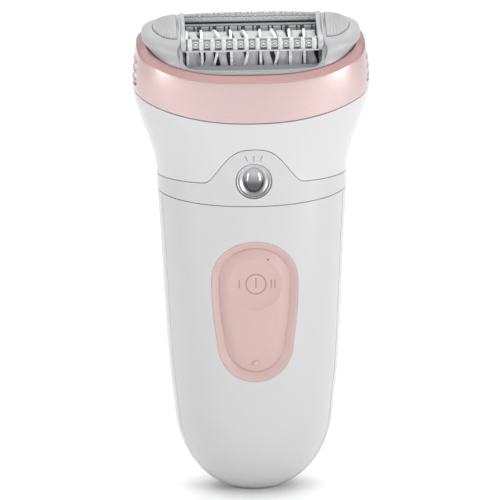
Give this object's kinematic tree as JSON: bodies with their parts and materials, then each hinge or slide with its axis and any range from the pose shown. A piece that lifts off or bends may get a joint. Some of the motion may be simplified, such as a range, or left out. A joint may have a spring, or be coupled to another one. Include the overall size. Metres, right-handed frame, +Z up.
{
  "type": "epilator",
  "caption": "Handheld cordless epilator with a detachable head, a drum of tweezers under a roller frame, side release buttons, a push button and a work light.",
  "frame": {"origin": "middle of the bounding box on the base that it stands on", "axes": "+Z up along the handle towards the head, -Y is the front with the push button and the work light, +X to the right seen from the front"},
  "size_m": [0.0732, 0.042, 0.1509],
  "materials": {
    "shell_white": "gloss, moulded",
    "head_white": "satin, moulded",
    "metallic_pink": "satin metallic lacquer",
    "soft_pink": "soft touch",
    "clear_plastic": "polished",
    "frame_silver": "pearl silver",
    "reflector_silver": "satin chrome",
    "tweezer_steel": "polished plates",
    "steel": "machined",
    "roller_metal": "ribbed rollers",
    "brass": "turned",
    "gear_plastic": "acetal",
    "grey_plastic": "moulded",
    "dark_plastic": "fine texture",
    "seal_rubber": "matt",
    "board_green": "solder mask",
    "cell_wrap": "shrink sleeve"
  },
  "bodies": {
    "handle": {"front_shell": "shell_white", "rear_shell": "shell_white", "light_band": "shell_white", "neck_shell": "shell_white", "collar": "metallic_pink", "switch_bezel": "soft_pink", "light_lens": "clear_plastic", "led_chip": "clear_plastic", "light_reflector": "reflector_silver", "crown_axle": "steel", "idler_axle": "steel", "motor_can": "steel", "motor_plate": "steel", "motor_screw_1": "steel", "motor_screw_2": "steel", "board_screw_1": "steel", "board_screw_2": "steel", "battery_tab_top": "steel", "battery_tab_bottom": "steel", "release_spring_left": "steel", "release_spring_right": "steel", "inlet_pin_left": "brass", "inlet_pin_right": "brass", "head_deck": "grey_plastic", "inner_chassis": "grey_plastic", "inlet_socket": "dark_plastic", "tact_switch": "dark_plastic", "neck_seal": "seal_rubber", "inlet_seal": "seal_rubber", "switch_membrane": "seal_rubber", "circuit_board": "board_green", "battery_cell": "cell_wrap"},
    "power_button": {"power_button": "soft_pink", "charge_indicator": "clear_plastic"},
    "release_left": {"release_button_left": "metallic_pink"},
    "release_right": {"release_button_right": "metallic_pink"},
    "motor_rotor": {"motor_shaft": "steel", "motor_pinion": "brass"},
    "crown": {"crown_gear": "gear_plastic"},
    "idler": {"idler_gear": "gear_plastic"},
    "head": {"head_housing": "grey_plastic", "pad_left": "head_white", "pad_right": "head_white", "drum_bearing_left": "grey_plastic", "drum_bearing_right": "grey_plastic"},
    "drum": {"drum_axle": "steel", "drum_gear": "gear_plastic", "tweezer_wheel_1": "tweezer_steel", "tweezer_wheel_2": "tweezer_steel", "tweezer_wheel_3": "tweezer_steel", "tweezer_wheel_4": "tweezer_steel", "tweezer_wheel_5": "tweezer_steel", "tweezer_wheel_6": "tweezer_steel", "tweezer_wheel_7": "tweezer_steel", "tweezer_wheel_8": "tweezer_steel", "tweezer_wheel_9": "tweezer_steel"},
    "contact_cap": {"contact_frame": "frame_silver"},
    "front_rollers": {"front_roller_set": "roller_metal"},
    "rear_rollers": {"rear_roller_set": "roller_metal"}
  },
  "joints": [
    {"name": "power_press", "type": "slide", "parent": "handle", "child": "power_button", "axis": [0, 1, 0], "range_m": [0, 0.0008], "stiffness_N_per_m": 400, "springref_m": -0.0008},
    {"name": "release_left_press", "type": "slide", "parent": "handle", "child": "release_left", "axis": [1, 0, 0], "range_m": [0, 0.001], "stiffness_N_per_m": 500, "springref_m": -0.0008},
    {"name": "release_right_press", "type": "slide", "parent": "handle", "child": "release_right", "axis": [-1, 0, 0], "range_m": [0, 0.001], "stiffness_N_per_m": 500, "springref_m": -0.0008},
    {"name": "head_lift", "type": "slide", "parent": "handle", "child": "head", "axis": [0, -0.2079, 0.9781], "range_m": [0, 0.03]},
    {"name": "drum_spin", "type": "hinge", "parent": "head", "child": "drum", "pos_m": [0, -0.0025, 0.13707], "axis": [1, 0, 0], "continuous": true},
    {"name": "idler_spin", "type": "hinge", "parent": "handle", "child": "idler", "pos_m": [0, 0.00016, 0.12455], "axis": [1, 0, 0], "continuous": true},
    {"name": "crown_spin", "type": "hinge", "parent": "handle", "child": "crown", "pos_m": [0, 0.00216, 0.11516], "axis": [1, 0, 0], "continuous": true},
    {"name": "motor_spin", "type": "hinge", "parent": "handle", "child": "motor_rotor", "pos_m": [0, 0.00216, 0.104], "axis": [0, 0, 1], "continuous": true},
    {"name": "cap_lift", "type": "slide", "parent": "head", "child": "contact_cap", "axis": [0, -0.2079, 0.9781], "range_m": [0, 0.02]},
    {"name": "front_roller_spin", "type": "hinge", "parent": "contact_cap", "child": "front_rollers", "pos_m": [0, -0.01383, 0.14469], "axis": [1, 0, 0], "continuous": true},
    {"name": "rear_roller_spin", "type": "hinge", "parent": "contact_cap", "child": "rear_rollers", "pos_m": [0, 0.00535, 0.14922], "axis": [1, 0, 0], "continuous": true}
  ],
  "couplings": [
    {"joint": "idler_spin", "follows": "drum_spin", "ratio": -1.6667},
    {"joint": "crown_spin", "follows": "drum_spin", "ratio": 1.6667},
    {"joint": "motor_spin", "follows": "drum_spin", "ratio": 5}
  ]
}
